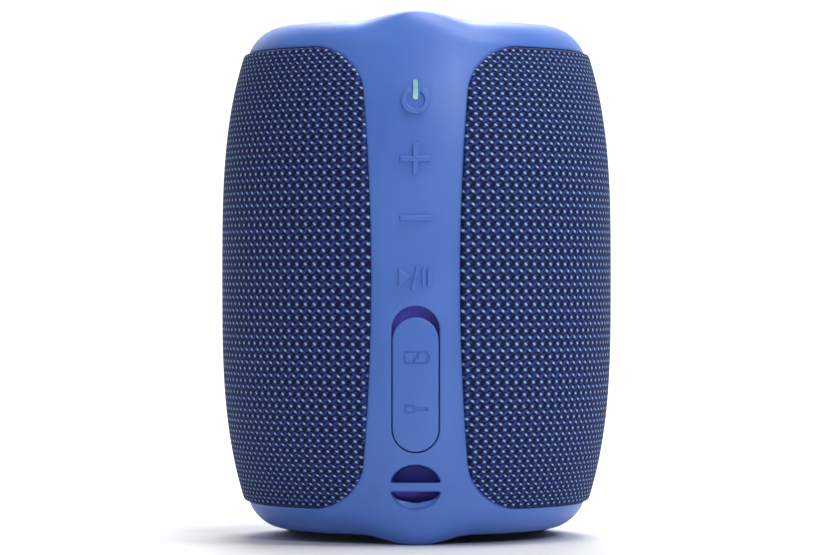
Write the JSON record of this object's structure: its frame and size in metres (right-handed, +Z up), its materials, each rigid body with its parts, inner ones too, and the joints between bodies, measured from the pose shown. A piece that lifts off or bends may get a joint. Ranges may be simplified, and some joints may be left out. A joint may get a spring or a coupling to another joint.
{
  "type": "portable speaker",
  "caption": "Upright barrel-shaped cordless speaker with a woven grille, a rubber control spine, a port flap and a strap slot.",
  "frame": {"origin": "middle of the foot plane, on the barrel's axis", "axes": "+Z up along the barrel's axis, -Y towards the control spine, +X to its right"},
  "size_m": [0.1084, 0.1077, 0.144],
  "materials": {
    "soft_rubber": "soft-touch blue rubber, satin",
    "key_rubber": "soft-touch blue rubber, satin",
    "woven_cloth": "navy weave with light blue dots",
    "frame_plastic": "indigo ABS",
    "black_plastic": "black ABS",
    "black_rubber": "matt",
    "steel": "plain",
    "radiator_metal": "spun, blue anodised",
    "cone_paper": "coated paper",
    "spider_cloth": "resin-treated cotton",
    "light_guide": "frosted, pale green",
    "circuit_board": "green solder mask",
    "board_parts": "moulded",
    "cell_wrap": "shrink wrap",
    "wire": "insulated"
  },
  "bodies": {
    "housing": {"aux_socket": "black_plastic", "battery_bracket": "black_plastic", "battery_cell": "cell_wrap", "battery_leads": "wire", "board_components": "board_parts", "board_screws": "steel", "button_board": "circuit_board", "driver_basket_lower": "black_plastic", "driver_basket_upper": "black_plastic", "driver_gaskets": "black_rubber", "driver_magnet_lower": "steel", "driver_magnet_upper": "steel", "driver_screws": "steel", "driver_spider_lower": "spider_cloth", "driver_spider_upper": "spider_cloth", "driver_surround_lower": "black_rubber", "driver_surround_upper": "black_rubber", "enclosure_front": "black_plastic", "enclosure_rear": "black_plastic", "enclosure_seal": "black_rubber", "end_plate_bottom": "black_plastic", "end_plate_top": "black_plastic", "end_ring_bottom": "frame_plastic", "end_ring_top": "frame_plastic", "end_screws": "steel", "flap_tether": "key_rubber", "grille_carrier": "frame_plastic", "grille_cloth": "woven_cloth", "main_board": "circuit_board", "port_board": "circuit_board", "radiator_frame_bottom": "black_plastic", "radiator_frame_top": "black_plastic", "radiator_surround_bottom": "black_rubber", "radiator_surround_top": "black_rubber", "rf_shield": "steel", "rubber_jacket": "soft_rubber", "speaker_leads": "wire", "spine_panel": "frame_plastic", "strap_cup": "frame_plastic", "switch_bodies": "board_parts", "usb_socket": "steel"},
    "power_key": {"power_button": "key_rubber", "power_plunger": "board_parts", "power_light_pipe": "light_guide"},
    "volume_up_key": {"volume_up_button": "key_rubber", "volume_up_plunger": "board_parts"},
    "volume_down_key": {"volume_down_button": "key_rubber", "volume_down_plunger": "board_parts"},
    "play_pause_key": {"play_pause_button": "key_rubber", "play_pause_plunger": "board_parts"},
    "flap": {"port_flap": "key_rubber"},
    "radiator_top": {"radiator_plate_top": "radiator_metal"},
    "radiator_bottom": {"radiator_plate_bottom": "radiator_metal"},
    "cone_upper": {"driver_cone_upper": "cone_paper", "dust_cap_upper": "cone_paper"},
    "cone_lower": {"driver_cone_lower": "cone_paper", "dust_cap_lower": "cone_paper"}
  },
  "joints": [
    {"name": "power_press", "type": "slide", "parent": "housing", "child": "power_key", "axis": [0, 1, 0], "range_m": [0, 0.0005], "stiffness_N_per_m": 1000},
    {"name": "volume_up_press", "type": "slide", "parent": "housing", "child": "volume_up_key", "axis": [0, 1, 0], "range_m": [0, 0.0005], "stiffness_N_per_m": 1000},
    {"name": "volume_down_press", "type": "slide", "parent": "housing", "child": "volume_down_key", "axis": [0, 1, 0], "range_m": [0, 0.0005], "stiffness_N_per_m": 1000},
    {"name": "play_pause_press", "type": "slide", "parent": "housing", "child": "play_pause_key", "axis": [0, 1, 0], "range_m": [0, 0.0005], "stiffness_N_per_m": 1000},
    {"name": "flap_hinge", "type": "hinge", "parent": "housing", "child": "flap", "pos_m": [0, -0.0506, 0.0268], "axis": [1, 0, 0], "range_deg": [0, 110], "deforming": ["flap_tether"]},
    {"name": "radiator_top_travel", "type": "slide", "parent": "housing", "child": "radiator_top", "axis": [0, 0, 1], "range_m": [-0.003, 0.003], "stiffness_N_per_m": 1500, "deforming": ["radiator_surround_top"]},
    {"name": "radiator_bottom_travel", "type": "slide", "parent": "housing", "child": "radiator_bottom", "axis": [0, 0, 1], "range_m": [-0.003, 0.003], "stiffness_N_per_m": 1500, "deforming": ["radiator_surround_bottom"]},
    {"name": "cone_upper_travel", "type": "slide", "parent": "housing", "child": "cone_upper", "axis": [0, 1, 0], "range_m": [-0.0015, 0.0015], "stiffness_N_per_m": 2000, "deforming": ["driver_surround_upper", "driver_spider_upper"]},
    {"name": "cone_lower_travel", "type": "slide", "parent": "housing", "child": "cone_lower", "axis": [0, 1, 0], "range_m": [-0.0015, 0.0015], "stiffness_N_per_m": 2000, "deforming": ["driver_surround_lower", "driver_spider_lower"]}
  ]
}
